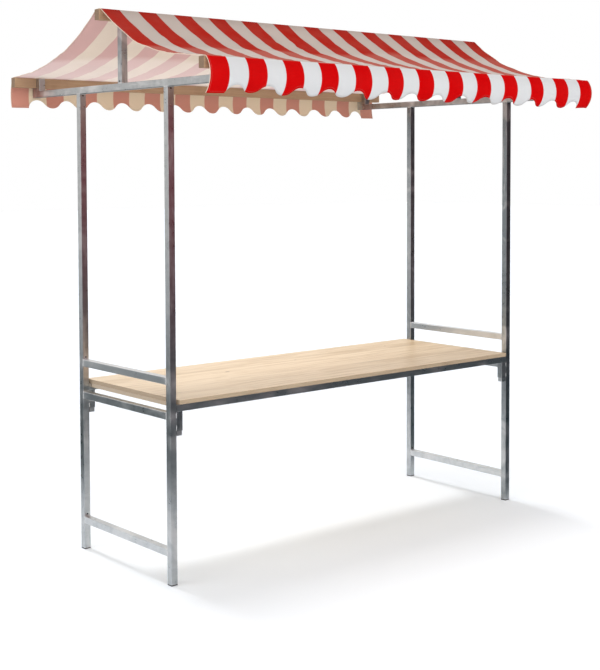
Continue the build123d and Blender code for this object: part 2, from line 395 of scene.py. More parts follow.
def board_look(settings):
    """Planed softwood panel glued from long staves."""
    look = Look(bpy.data.materials.new("planed board"))
    x, y, z = look.parts(look.place())
    across = (y + 37 * MM) / settings.stave
    luck = look.signal("ShaderNodeTexWhiteNoise", {"noise_dimensions": "1D"},
                       {"W": across.floor()})
    seam = abs(across.fract() - 0.5).above(0.492, 0.008)
    shifted = look.joined(x * 0.35 + luck * 9.0, y + luck * 3.0, z + luck * 5.0)
    drift = look.noise(shifted, 2.2)
    rings = look.waves(shifted, "BANDS", "Y", 9.0, 5.5, "SAW",
                       {"Detail": 2.0, "Detail Scale": 0.9, "Detail Roughness": 0.5})
    fine = look.joined(x * 0.05, y, z)
    fibre = look.noise(fine, 340.0, 3.0, 0.6)
    streak = look.noise(fine, 48.0).above(0.54, 0.14)
    broad = look.joined(x * 0.16, y + luck * 2.0, z)
    flame = look.noise(broad, 17.0, 3.0, 0.6, 0.8).above(0.53, 0.12)
    thin = look.joined(x * 0.02, y + luck, z)
    vein = look.noise(thin, 130.0).above(0.66, 0.06)
    knots = 0.0
    for knot_x, knot_y, radius in KNOTS:
        off_x, off_y = x - knot_x, y - knot_y
        away = (off_x * off_x * 0.45 + off_y * off_y) ** 0.5
        knots = (1.0 - away.above(radius, radius)) + knots
    figure = rings ** 2.0 * 0.4 + streak * 0.24 + flame * 0.38 + fibre * 0.3
    uneven = drift.above(0.5, 0.4) * 0.3 + (luck - 0.5) * 0.34
    # x * 0.34 - y * 0.22 is painted light and shade: the board grows lighter towards its back left
    # and darker towards its front right, where the canopy shades it.
    tone = figure + uneven + x * 0.34 - y * 0.22 - 0.28
    body = look.mix(tone, settings.pale, settings.warm)
    body = look.mix(vein * drift.above(0.45, 0.3) * 0.5, body, 0.62 * settings.warm)
    body = look.mix(knots * 0.75, body, (0.20, 0.09, 0.035))
    body = look.mix(seam * 0.35, body, 0.7 * settings.warm)
    relief = fibre * 0.6 + rings * 0.4 - seam
    return look.principled({"Base Color": body, "Roughness": 0.30 + fibre * 0.12,
                            "Specular IOR Level": 0.25,
                            "Normal": look.bump(relief, 0.08, 0.3 * MM)})


def sawn_look(name, pale, dark, along="X"):
    """Sawn wood whose grain runs along one axis."""
    look = Look(bpy.data.materials.new(name))
    stretch = [1.0, 1.0, 1.0]
    stretch["XYZ".index(along)] = 0.06
    drawn = look.place(scale=stretch)
    grain = look.noise(drawn, 95.0, 4.0, 0.65, 0.3)
    wide = look.noise(drawn, 22.0)
    blemish = look.noise(look.place(), 9.0, 3.0, 0.6).above(0.62, 0.16)
    saw = look.noise(look.place(scale=(1.0, 0.1, 0.1)), 700.0, 1.0)
    tone = grain.above(0.5, 0.5) * 0.55 + wide.above(0.5, 0.4) * 0.3 + blemish * 0.25
    return look.principled({"Base Color": look.mix(tone, pale, dark),
                            "Roughness": 0.72 + grain * 0.12, "Specular IOR Level": 0.3,
                            "Normal": look.bump(grain * 0.7 + saw * 0.3, 0.35, 0.5 * MM)})


def end_grain_look(name, pale, dark):
    """Growth rings on a sawn end."""
    look = Look(bpy.data.materials.new(name))
    heart = look.place(location=(0.0, 0.31, 0.12))
    rings = look.waves(heart, "RINGS", "X", 75.0, 1.2, "SAW", {"Detail": 2.0})
    pores = look.noise(look.place(), 900.0)
    return look.principled({"Base Color": look.mix(rings * 0.55 + pores * 0.3, pale, dark),
                            "Roughness": 0.8, "Normal": look.bump(pores, 0.3, 0.3 * MM)})


def canvas_look(settings, name, printed, plain, section, span):
    """One face of the striped canvas. Its patterns follow the cloth's own UV map, in metres.

    printed and plain each hold three colours: on the valance, on the roof and above an eave. The
    roof's colours carry painted light and shade, and those above an eave more painted light.
    """
    look = Look(bpy.data.materials.new(name))
    cloth = look.place(uv="cloth")
    u, v, _ = look.parts(cloth)
    wander = (look.noise(cloth, 35.0) - 0.5) * (1.2 * MM)
    phase = (u + span / 2 + wander) / (2 * span / settings.stripes) - 0.25
    band = abs(phase.fract() - 0.5).above(0.25, 0.012)
    warp, weft = (look.waves(cloth, "BANDS", way, THREADS, 0.6) for way in "XY")
    weave = warp * weft
    dust = look.noise(cloth, 5.5, 4.0, 0.6)
    fade = look.noise(cloth, 1.6)
    edge = look.signal("ShaderNodeAttribute", {"attribute_name": "edge"}, output="Fac")
    hem = 1.0 - edge.above(11 * MM, 1.2 * MM)
    seam = 1.0 - abs(edge - 8.5 * MM).above(0.7 * MM, 0.6 * MM)
    stitch = seam * (u * THREADS).fract().above(0.4, 0.2)
    roof = v.above(section.front_eave, 10 * MM) - v.above(section.back_eave, 10 * MM)
    # Above each eave a painted light pales the cloth, a sheen outside and brighter light inside, up
    # to a wavering line.
    up = (v - section.front_eave).smaller(section.back_eave - v)
    line = settings.fade + (fade - 0.5) * 0.3 + u * 0.09
    sharp = 1.0 - up.above(line, 50 * MM)
    soft = 1.0 - up.above(settings.fade * 0.55, settings.fade * 0.8)
    painted_eave_light = (sharp * 0.5 + soft * 0.5) * (0.8 + dust * 0.4)
    shades = []
    for hem_shade, roof_shade, eave_shade in (plain, printed):
        shades.append(look.mix(roof, hem_shade, look.mix(painted_eave_light, roof_shade, eave_shade)))
    # Grime in patches, stronger on the roof, where it is also painted shade that darkens the slopes.
    grime_and_shade = dust.above(0.52, 0.4) * (roof * 0.10 + 0.02)
    body = look.mix(grime_and_shade, look.mix(band, *shades), (0.34, 0.27, 0.22))
    body = look.mix(weave * 0.06 + hem * 0.06, body, (0.25, 0.2, 0.18), "MULTIPLY")
    body = look.mix(stitch * 0.18, body, (0.62, 0.58, 0.52))
    crease = look.noise(look.place(scale=(0.35, 1.0, 1.0), uv="cloth"), 16.0, 3.0, 0.55)
    relief = weave * 0.12 + hem * 0.9 - stitch * 0.5 + crease * (roof * 5.0 + 3.0)
    shader = look.signal("ShaderNodeBsdfPrincipled", None,
                         {"Base Color": body, "Roughness": 0.6 + dust * 0.12,
                          "Specular IOR Level": 0.0,
                          "Normal": look.bump(relief, 0.35, 0.9 * MM)})
    glow = look.signal("ShaderNodeBsdfTranslucent", None, {"Color": body})
    cloth_face = look.signal("ShaderNodeMixShader", None,
                             {0: roof * 0.2 + 0.1, 1: shader, 2: glow})
    behind = look.signal("ShaderNodeNewGeometry", output="Backfacing")
    clear = look.signal("ShaderNodeBsdfTransparent")
    return look.finish(look.signal("ShaderNodeMixShader", None,
                                   {0: behind, 1: cloth_face, 2: clear}))


def edging_look(settings):
    """Pale tape rolled over the cut edge of the canvas."""
    look = Look(bpy.data.materials.new("canvas edging"))
    thread = look.noise(look.place(), 600.0)
    shade = look.mix(thread * 0.4, settings.edging, 0.7 * settings.edging)
    return look.principled({"Base Color": shade, "Roughness": 0.7,
                            "Normal": look.bump(thread, 0.3, 0.3 * MM)})


def plastic_look(settings):
    """Moulded plastic with scuffs from the ground."""
    look = Look(bpy.data.materials.new("foot plastic"))
    height = look.parts(look.place())[2]
    grit = look.noise(look.place(), 320.0, 4.0, 0.65)
    scuff = grit.above(0.52, 0.2) * (1.0 - height.above(3 * MM, 4 * MM))
    shade = look.mix(scuff * 0.5, settings.plastic, (0.16, 0.155, 0.15))
    return look.principled({"Base Color": shade, "Roughness": 0.5 + scuff * 0.3,
                            "Normal": look.bump(grit, 0.25, 0.3 * MM)})


# ---------------------------------------------------------------- building blocks

def piece_from(bm, name, looks, slot=None, smooth=True):
    """Turn a finished bmesh into a piece that rides on the frame."""
    mesh = bpy.data.meshes.new(name)
    bm.to_mesh(mesh)
    bm.free()
    for look in looks:
        mesh.materials.append(look)
    if smooth:
        mesh.shade_smooth()
    piece = bpy.data.objects.new(name, mesh)
    bpy.context.scene.collection.objects.link(piece)
    if slot:
        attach(piece, "root")
    return piece


def placed_grid(bm, columns, rows, place):
    """Add a grid to bm and put each of its vertices where place(column, row) says."""
    made = bmesh.ops.create_grid(bm, x_segments=columns - 1, y_segments=rows - 1, size=1.0)
    numbered = {}
    for vertex in made["verts"]:
        column = round((vertex.co.x + 1) / 2 * (columns - 1))
        row = round((vertex.co.y + 1) / 2 * (rows - 1))
        numbered[vertex] = (column, row)
    for vertex, (column, row) in numbered.items():
        vertex.co = place(column, row)
    return numbered


def eased_copy(node, name, width, segments, looks, slot):
    """A copy of a CAD node with its sharp edges eased.

    Its ends along X get the second look and its sides along Y the third, where there is one.
    """
    flat, corner, facing = math.radians(1), math.radians(40), 0.7
    bm = bmesh.new()
    bm.from_mesh(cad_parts[node].data)
    bmesh.ops.remove_doubles(bm, verts=bm.verts, dist=TOUCHING)
    bmesh.ops.dissolve_limit(bm, angle_limit=flat, verts=bm.verts, edges=bm.edges)
    sharp = [edge for edge in bm.edges if edge.is_manifold and edge.calc_face_angle() > corner]
    bmesh.ops.bevel(bm, geom=sharp, offset=width, affect="EDGES", segments=segments, profile=0.5,
                    material=-1)
    if len(looks) > 1:
        for face in bm.faces:
            if abs(face.normal.x) > facing:
                face.material_index = 1
            elif abs(face.normal.y) > facing and len(looks) > 2:
                face.material_index = 2
    piece = piece_from(bm, name, looks, slot, smooth=False)
    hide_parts(node)
    return piece


def paint(nodes, look):
    """Give CAD nodes a look."""
    for name in nodes:
        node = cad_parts[name]
        if not node.material_slots:
            node.data.materials.append(look)
        for place in node.material_slots:
            place.material = look


def around(width, height, corner, steps):
    """Points and outward normals round a rectangle with rounded corners, in its own plane."""
    half_w, half_h = width / 2 - corner, height / 2 - corner
    corners = ((1, 1), (-1, 1), (-1, -1), (1, -1))

    def bend(quarter, degrees):
        """The point and the normal some degrees along one rounded corner."""
        angle = math.radians(quarter * 90 + degrees)
        normal = Vector((math.cos(angle), math.sin(angle)))
        across, up = corners[quarter % 4]
        return Vector((across * half_w, up * half_h)) + corner * normal, normal

    found = []
    for quarter in range(4):
        found += [bend(quarter, degrees) for degrees in (0, 45, 90)]
        here, normal = found[-1]
        there, _ = bend(quarter + 1, 0)
        found += [(here.lerp(there, step / steps), normal) for step in range(1, steps)]
    return found


def bead_ring(settings, row, swell):
    """How far out of the seam and how far over it a point of a bead's round section lies."""
    turn = 2 * math.pi * row / (BEAD_SIDES - 1)
    return settings.proud * swell * math.sin(turn), settings.bead * swell * math.cos(turn)


def bead_loop(bm, settings, matrix, width, height):
    """A weld bead round a tube. matrix takes the tube's own plane to its place."""
    line = around(width, height, corner=2 * MM, steps=7)
    ripple, fineness, spread = 0.22, 520, 40

    def place(column, row):
        spot, normal = line[column % len(line)]
        origin = matrix.translation * spread
        swell = 1 + ripple * noise.noise(Vector((spot.x, spot.y, 0)) * fineness + origin)
        out, over = bead_ring(settings, row, swell)
        return matrix @ Vector((spot.x + normal.x * out, spot.y + normal.y * out, over))

    placed_grid(bm, len(line) + 1, BEAD_SIDES, place)


def bead_run(bm, settings, start, end, out):
    """A short straight weld bead from start to end that stands out along one direction."""
    steps, ripple, fineness, bluntness, tip = 12, 0.25, 480, 0.3, 0.001
    start, end, out = Vector(start), Vector(end), Vector(out)
    across = (end - start).normalized().cross(out)

    def place(column, row):
        share = column / (steps - 1)
        taper = math.sin(math.pi * min(max(share, tip), 1 - tip)) ** bluntness
        spot = start.lerp(end, share)
        swell = taper * (1 + ripple * noise.noise(spot * fineness))
        proud, over = bead_ring(settings, row, swell)
        return spot + out * proud + across * over

    placed_grid(bm, steps, BEAD_SIDES, place)


# ---------------------------------------------------------------- operators

class STALL_OT_frame(bpy.types.Operator):
    """Paint the galvanised tubes, each along its own direction"""
    bl_idname = "stall.frame"
    bl_label = "Steel frame"

    def execute(self, context):
        steel = context.scene.stall.steel
        spots = [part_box(f"left_{part}") for part in RAILS]
        heights = [(low.z + high.z) / 2 for low, high in spots]
        reach = spots[0][1].y
        # Each copy of the zinc below differs by its lift, which is painted light or shade: the same
        # zinc made lighter or darker part by part for how light falls on it. The right posts' copies
        # also take painted shade over their tops.
        upright = steel_look(steel, "zinc on uprights", "Z", 0.0, heights)
        # Painted shade: the king posts and the front table sockets take a darker copy of the zinc.
        dull = steel_look(steel, "dull zinc", "Z", -0.3)
        top_shaded_zinc = steel_look(steel, "weathered zinc", "Z", 0.0, heights, shade_above=1.62)
        deep_shaded_zinc = steel_look(steel, "dark zinc", "Z", -0.35, heights, shade_above=1.45)
        crossways = steel_look(steel, "zinc on rails", "Y", 0.15, [reach])
        outreach = steel_look(steel, "zinc on tie beams", "Y", -0.07, [reach])
        lit_rail_zinc = steel_look(steel, "bright zinc on rails", "Y", 0.6, [reach])
        lighter_rail_zinc = steel_look(steel, "clean zinc on rails", "Y", 0.2, [reach])
        lengthways = steel_look(steel, "zinc on beams", "X", 0.27)
        for side in SIDES:
            paint([f"{side}_{end}_{part}" for end in ENDS
                   for part in ("post", "table_socket", "eave_saddle")], upright)
            paint([f"{side}_king_post", f"{side}_front_table_socket"], dull)
            paint([f"{side}_ridge_cradle"], upright)
            paint([f"{side}_table_rail"], crossways)
            paint([f"{side}_tie_beam"], outreach)
            paint([f"{side}_upper_rail"], lit_rail_zinc)
            paint([f"{side}_lower_rail"], lighter_rail_zinc)
        paint(["right_back_post"], top_shaded_zinc)
        paint(["right_front_post"], deep_shaded_zinc)
        paint([f"{end}_table_beam" for end in ENDS], lengthways)
        return {"FINISHED"}


class STALL_OT_welds(bpy.types.Operator):
    """Run weld beads round the joints of the frame"""
    bl_idname = "stall.welds"
    bl_label = "Weld beads"

    def execute(self, context):
        steel = context.scene.stall.steel
        look = weld_look(steel)
        for side in SIDES:
            bm = bmesh.new()
            for part in RAILS:
                low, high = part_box(f"{side}_{part}")
                middle, size = (low + high) / 2, high - low
                for y in (low.y, high.y):
                    spin = Matrix.Rotation(math.radians(90), 4, "X")
                    place = Matrix.Translation((middle.x, y, middle.z)) @ spin
                    bead_loop(bm, steel, place, size.x, size.z)
            for end in ENDS:
                low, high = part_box(f"{side}_{end}_post")
                middle, size = (low + high) / 2, high - low
                place = Matrix.Translation((middle.x, middle.y, high.z))
                bead_loop(bm, steel, place, size.x, size.y)
                self.socket_stitches(bm, steel, side, end)
            low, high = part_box(f"{side}_king_post")
            middle, size = (low + high) / 2, high - low
            for z in (low.z, high.z):
                place = Matrix.Translation((middle.x, middle.y, z))
                bead_loop(bm, steel, place, size.x, size.y)
            bmesh.ops.remove_doubles(bm, verts=bm.verts, dist=TOUCHING / 2)
            bmesh.ops.recalc_face_normals(bm, faces=bm.faces)
            piece_from(bm, f"{side}_welds", [look], "galvanised_steel")
        return {"FINISHED"}

    def socket_stitches(self, bm, steel, side, end):
        """Short beads at the top and bottom of a socket's seam with its post."""
        low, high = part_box(f"{side}_{end}_table_socket")
        seam_x = low.x if SIDES[side] < 0 else high.x
        run, inset = 22 * MM, 2 * MM
        for y, out in ((low.y, -1), (high.y, 1)):
            for z in (low.z + inset, high.z - inset - run):
                bead_run(bm, steel, (seam_x, y, z), (seam_x, y, z + run), (0, out, 0))


class STALL_OT_vents(bpy.types.Operator):
    """Add the vent holes that the zinc bath needs beside the joints, as discs of painted shade"""
    bl_idname = "stall.vents"
    bl_label = "Vent holes"

    def execute(self, context):
        steel = context.scene.stall.steel
        looks = [weld_look(steel), hole_shade_look(steel)]
        over_beam, over_rail, under_top = 8 * MM, 10 * MM, 7 * MM
        bm = bmesh.new()
        for side, hand in SIDES.items():
            outside = Matrix.Rotation(math.radians(90 * hand), 4, "Y")
            low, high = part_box(f"{side}_king_post")
            outer_x = low.x if hand < 0 else high.x
            self.hole(bm, steel, (outer_x, 0.0, low.z + over_beam), outside)
            for end, out in ENDS.items():
                low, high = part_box(f"{side}_{end}_post")
                middle = (low + high) / 2
                inner_y, outer_y = (high.y, low.y) if out < 0 else (low.y, high.y)
                inward = Matrix.Rotation(math.radians(90 * out), 4, "X")
                outward = Matrix.Rotation(math.radians(-90 * out), 4, "X")
                for y, turn in ((inner_y, inward), (outer_y, outward)):
                    self.hole(bm, steel, (middle.x, y, high.z - under_top), turn)
                for rail in ("lower_rail", "upper_rail"):
                    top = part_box(f"{side}_{rail}")[1].z
                    self.hole(bm, steel, (middle.x, inner_y, top + over_rail), inward)
        bmesh.ops.recalc_face_normals(bm, faces=bm.faces)
        piece_from(bm, "vent_holes", looks, "galvanised_steel", smooth=False)
        return {"FINISHED"}

    def hole(self, bm, steel, spot, turn):
        """A disc of painted shade for a hole, with a thin raised rim of zinc."""
        rim_width, rim_height, disc_height = 0.5 * MM, 0.15 * MM, 0.1 * MM
        made = bmesh.ops.create_circle(bm, cap_ends=True, segments=20, radius=steel.vent)
        disc = list({face for vertex in made["verts"] for face in vertex.link_faces})
        rim = bmesh.ops.inset_region(bm, faces=disc, thickness=rim_width, depth=0.0)["faces"]
        for face in disc:
            face.material_index = 1
        everything = list({v for face in disc + rim for v in face.verts})
        bmesh.ops.translate(bm, verts=everything, vec=(0, 0, rim_height))
        middle = list({v for face in disc for v in face.verts})
        bmesh.ops.translate(bm, verts=middle, vec=(0, 0, disc_height))
        bmesh.ops.transform(bm, matrix=Matrix.Translation(spot) @ turn, verts=everything)


class STALL_OT_table(bpy.types.Operator):
    """Make the wooden table board and its cleats"""
    bl_idname = "stall.table"
    bl_label = "Table board"

    def execute(self, context):
        wood = context.scene.stall.wood
        end = end_grain_look("board end grain", wood.end, wood.end_dark)
        # The front and back edges take painted shade, a darker colour than the top.
        edge = sawn_look("board edge", wood.edge, wood.end_dark)
        eased_copy("table_top", "table_board", wood.easing, 2, [board_look(wood), end, edge],
                   "table_wood")
        rough = sawn_look("cleat wood", wood.cleat, wood.edge, along="Y")
        for side in SIDES:
            eased_copy(f"{side}_table_cleat", f"{side}_board_cleat", wood.easing, 2, [rough],
                       "table_wood")
        return {"FINISHED"}


class STALL_OT_battens(bpy.types.Operator):
    """Make the three roof battens"""
    bl_idname = "stall.battens"
    bl_label = "Roof battens"

    def execute(self, context):
        wood = context.scene.stall.wood
        looks = [sawn_look("batten wood", wood.batten, wood.batten_dark),
                 end_grain_look("batten end grain", wood.batten_end, wood.batten_rings)]
        for node in ("front_eave_batten", "back_eave_batten", "ridge_batten"):
            eased_copy(node, node.replace("batten", "pole"), wood.easing, 2, looks, "batten_wood")
        return {"FINISHED"}


class STALL_OT_feet(bpy.types.Operator):
    """Make the moulded feet"""
    bl_idname = "stall.feet"
    bl_label = "Feet"

    def execute(self, context):
        foot = context.scene.stall.foot
        look = plastic_look(foot)
        for side in SIDES:
            for end in ENDS:
                eased_copy(f"{side}_{end}_foot", f"{side}_{end}_glide", foot.easing, 3, [look],
                           "foot_plastic")
        return {"FINISHED"}


class Section:
    """The canopy's section across the stall, as a line of points with their distance along it."""

    def __init__(self, settings):
        self.settings = settings
        self.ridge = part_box("front_roof_canvas")[1].z
        self.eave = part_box("front_valance")[1].z
        self.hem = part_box("front_valance")[0].z
        self.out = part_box("back_eave_batten")[1].y
        ridge_low, ridge_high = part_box("ridge_batten")
        self.shoulder = (ridge_high.y - ridge_low.y) / 2
        front = self.slope() + self.valance(settings.front_bulge, settings.front_hem)
        back = self.slope() + self.valance(settings.back_bulge, settings.back_hem)
        line = [(-y, z) for y, z in reversed(front)] + back
        self.points = self.softened(self.spaced(line, MM), settings.fold)
        self.along = [0.0]
        for here, there in zip(self.points, self.points[1:]):
            self.along.append(self.along[-1] + math.dist(here, there))
        self.front_eave = self.nearest(-self.out)
        self.back_eave = self.nearest(self.out)
        self.front_ridge = self.nearest(-self.shoulder)
        self.back_ridge = self.nearest(self.shoulder)
        self.whole = self.along[-1]

    def valance(self, bulge, hem):
        """Points of an arc from the eave out to the bulge and in again to the hem."""
        top = Vector((self.out, self.eave))
        full = Vector((self.out + bulge, self.eave - self.settings.bulge_drop))
        low = Vector((self.out + hem, self.hem))
        out, down = full - top, low - top
        turn = 2 * (out.x * down.y - out.y * down.x)
        centre = top + Vector((down.y * out.length_squared - out.y * down.length_squared,
                               out.x * down.length_squared - down.x * out.length_squared)) / turn
        radius = (top - centre).length
        start = math.atan2(top.y - centre.y, top.x - centre.x)
        stop = math.atan2(low.y - centre.y, low.x - centre.x)
        steps = 60
        angles = [start + (stop - start) * step / steps for step in range(1, steps + 1)]
        return [(centre.x + radius * math.cos(angle), centre.y + radius * math.sin(angle))
                for angle in angles]

    def slope(self):
        """Points from the middle of the ridge to an eave, with the sag between."""
        straight, power = self.settings.straight, self.settings.sag_power
        points = [(0.0, self.ridge)]
        steps = 80
        for step in range(steps + 1):
            share = step / steps
            left = 1 - share
            fall = straight * left + (1 - straight) * left ** power
            points.append((self.shoulder + (self.out - self.shoulder) * share,
                           self.eave + (self.ridge - self.eave) * fall))
        return points

    def spaced(self, points, step):
        """The line again, with its points a fixed step apart."""
        found, left = [Vector(points[0])], step
        for here, there in zip(map(Vector, points), map(Vector, points[1:])):
            span = (there - here).length
            at = left
            while span > 0 and at <= span:
                found.append(here.lerp(there, at / span))
                at += step
            left = at - span
        found.append(Vector(points[-1]))
        return found

    def softened(self, points, width):
        """The line with its corners rounded over a width, by two running means.

        Its points lie a millimetre apart, and each mean reaches a quarter of the width both ways.
        """
        reach = max(1, round(width / MM / 4))
        for _ in range(2):
            smooth = []
            for index in range(len(points)):
                near = min(reach, index, len(points) - 1 - index)
                part = points[index - near:index + near + 1]
                smooth.append(sum(part, Vector((0, 0))) / len(part))
            points = smooth
        return points

    def nearest(self, y):
        """Distance along the line where it passes over y, by the highest such point."""
        close = 1.5 * MM
        found = [i for i, point in enumerate(self.points) if abs(point.x - y) < close]
        index = max(found, key=lambda i: self.points[i].y)
        return self.along[index]

    def at(self, distance):
        """The point at a distance along the line and the outward normal there.

        Points lie up to a millimetre apart, so the search starts just before the distance.
        """
        index = min(max(int(distance / MM) - 2, 0), len(self.along) - 2)
        while index < len(self.along) - 2 and self.along[index + 1] < distance:
            index += 1
        here, there = self.points[index], self.points[index + 1]
        span = self.along[index + 1] - self.along[index]
        share = min(max((distance - self.along[index]) / span, 0.0), 1.0)
        run = (there - here).normalized()
        return here.lerp(there, share), Vector((-run.y, run.x))


class STALL_OT_canopy(bpy.types.Operator):
    """Make the striped canopy as one continuous sheet, with its rolled edges"""
    bl_idname = "stall.canopy"
    bl_label = "Canopy"

    def execute(self, context):
        settings = context.scene.stall.canopy
        section = Section(settings)
        low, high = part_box("front_valance")
        span = high.x - low.x
        columns = self.columns(settings, span)
        rows = self.rows(section)
        notches = [(k - (settings.scallops - 1) / 2) * settings.scallop_period
                   for k in range(settings.scallops)]
        lifts = [self.lift(settings, notches, x) for x in columns]
        bm = bmesh.new()
        cloth = bm.loops.layers.uv.new("cloth")
        edge = bm.verts.layers.float.new("edge")

        def lay(column, row):
            """Distance along the section of a grid point: hem rows follow the scallops."""
            distance = rows[row]
            front_hem, back_hem = lifts[column], section.whole - lifts[column]
            if distance < section.front_eave:
                share = distance / section.front_eave
                return front_hem + (section.front_eave - front_hem) * share
            if distance > section.back_eave:
                share = (distance - section.back_eave) / (section.whole - section.back_eave)
                return section.back_eave + (back_hem - section.back_eave) * share
            return distance

        def place(column, row):
            x, distance = columns[column], lay(column, row)
            point, normal = section.at(distance)
            point = point + normal * self.relief(section, x, distance)
            return Vector((x, point.x, point.y))

        numbered = placed_grid(bm, len(columns), len(rows), place)
        for vertex, (column, row) in numbered.items():
            x, distance = columns[column], lay(column, row)
            ends = min(x - columns[0], columns[-1] - x)
            hems = min(distance - lifts[column], section.whole - lifts[column] - distance)
            vertex[edge] = min(ends, hems)
            for loop in vertex.link_loops:
                loop[cloth].uv = (x, distance)
        outside = ((settings.red, settings.roof_red, settings.eave_sheen_red),
                   (settings.white, settings.roof_white, settings.eave_sheen_white))
        inside = ((settings.pink, settings.roof_pink, settings.eave_lit_pink),
                  (settings.cream, settings.roof_cream, settings.eave_lit_cream))
        looks = [canvas_look(settings, "canvas outside", *outside, section, span),
                 canvas_look(settings, "canvas inside", *inside, section, span),
                 edging_look(settings)]
        canopy = piece_from(bm, "striped_canopy", looks, "striped_canvas")
        thick = canopy.modifiers.new("cloth thickness", "SOLIDIFY")
        thick.thickness, thick.offset = settings.cloth, -1.0
        thick.use_even_offset = True
        thick.material_offset, thick.material_offset_rim = 1, 2
        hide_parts("front_roof_canvas", "back_roof_canvas", "front_valance",
                    "back_valance")
        edgings = self.edgings(section, settings, columns, looks[2])
        notched = self.notch_area(lifts, columns)
        span * section.whole - notched
        return {"FINISHED"}

    def columns(self, settings, span):
        """X of each column of the sheet, closer together where a notch turns into the tab."""
        last = (settings.scallops - 1) / 2 * settings.scallop_period
        start = last + settings.tab
        tab_steps, arc_steps, notch_steps = 6, 9, 20
        outer = [start + (span / 2 - start) * step / tab_steps
                 for step in range(tab_steps, 0, -1)]
        arc = [last + settings.tab * math.sin(math.pi / 2 * step / arc_steps)
               for step in range(arc_steps, 0, -1)]
        right = outer + arc
        count = (settings.scallops - 1) * notch_steps
        inner = [-last + 2 * last * step / count for step in range(count + 1)]
        return [-x for x in right] + inner + right[::-1]

    def rows(self, section):
        """Distance along the section of each row, from the front hem to the back hem.

        The rows lie closer together where the cloth bends over a batten.
        """
        stretches = ((section.front_eave - 8 * MM, 13), (section.front_eave + 10 * MM, 6),
                     (section.front_ridge - 8 * MM, 38), (section.front_ridge + 6 * MM, 5),
                     (section.back_ridge - 6 * MM, 2), (section.back_ridge + 8 * MM, 5),
                     (section.back_eave - 10 * MM, 38), (section.back_eave + 8 * MM, 6),
                     (section.whole, 13))
        found = [0.0]
        for stop, count in stretches:
            start = found[-1]
            found += [start + (stop - start) * step / count for step in range(1, count + 1)]
        return found

    def lift(self, settings, notches, x):
        """How far the hem is cut up at x, along the cloth."""
        last = notches[-1]
        depth, quarter = settings.scallop_depth, settings.scallop_period / 4
        if abs(x) > last:
            radius = (settings.tab ** 2 + depth ** 2) / (2 * depth)
            away = abs(x) - last
            return 0.0 if away >= settings.tab else depth - self.drop(radius, away)
        radius = (quarter ** 2 + (depth / 2) ** 2) / depth
        away = min(abs(x - notch) for notch in notches)
        if away <= quarter:
            return depth - self.drop(radius, away)
        return self.drop(radius, 2 * quarter - away)

    def drop(self, radius, away):
        """How far a circle has fallen from its top, some way to one side."""
        return radius - math.sqrt(radius ** 2 - away ** 2)

    def notch_area(self, lifts, columns):
        """Area that the notches of both hems take out of the cloth."""
        pairs = zip(zip(columns, lifts), zip(columns[1:], lifts[1:]))
        return 2 * sum((x2 - x1) * (h1 + h2) / 2 for (x1, h1), (x2, h2) in pairs)

    def relief(self, section, x, distance):
        """How far the cloth stands off its section: creases, and hems that wave."""
        if distance < section.front_eave:
            return self.wave(x, 1 - distance / section.front_eave, 3.1, 7.7)
        if distance > section.back_eave:
            free = (distance - section.back_eave) / (section.whole - section.back_eave)
            return self.wave(x, free, 9.4, 1.7)
        if distance < section.front_ridge:
            share = (section.front_ridge - distance) / (section.front_ridge - section.front_eave)
            seed = 0.0
        elif distance > section.back_ridge:
            share = (distance - section.back_ridge) / (section.back_eave - section.back_ridge)
            seed = 20.0
        else:
            return 0.0
        # share runs from the ridge to the eave, and the cloth is held at both.
        held = min(1.0, share / 0.12) * min(1.0, (1 - share) / 0.1)
        broad = 6 * MM * noise.noise(Vector((x * 1.3, share * 2.5, seed)))
        crease = 4 * MM * noise.noise(Vector((x * 1.7, share * 24.0, seed + 5.0))) * share
        slant = Vector((x * 5.0 + share * 9.0, x * 1.2 - share * 4.0, seed + 9.0))
        pull = 2.6 * MM * noise.noise(slant)
        # A long fold wanders along each slope, a third of the way down it.
        line = 0.34 - 0.04 * x + 0.04 * noise.noise(Vector((x * 2.0, seed, 4.0)))
        fold = 3 * MM * math.exp(-((share - line) / 0.05) ** 2)
        # A short tug slants across each slope, left of the middle.
        tug_x, tug_share = x + 0.25, share - 0.26
        run, across = tug_x * 0.8 + tug_share * 0.6, tug_x * 0.6 - tug_share * 0.8
        tug = 6 * MM * math.exp(-(run / 0.16) ** 2 - (across / 0.022) ** 2)
        return held * (broad + crease + pull - fold - tug)

    def wave(self, x, free, broad_seed, fine_seed):
        """How far a valance waves. free runs from 0 at its eave to 1 at its hem."""
        broad = 7 * MM * noise.noise(Vector((x * 5.0, broad_seed, 0.0)))
        fine = 3 * MM * noise.noise(Vector((x * 13.0, fine_seed, free)))
        return free ** 1.5 * (broad + fine)

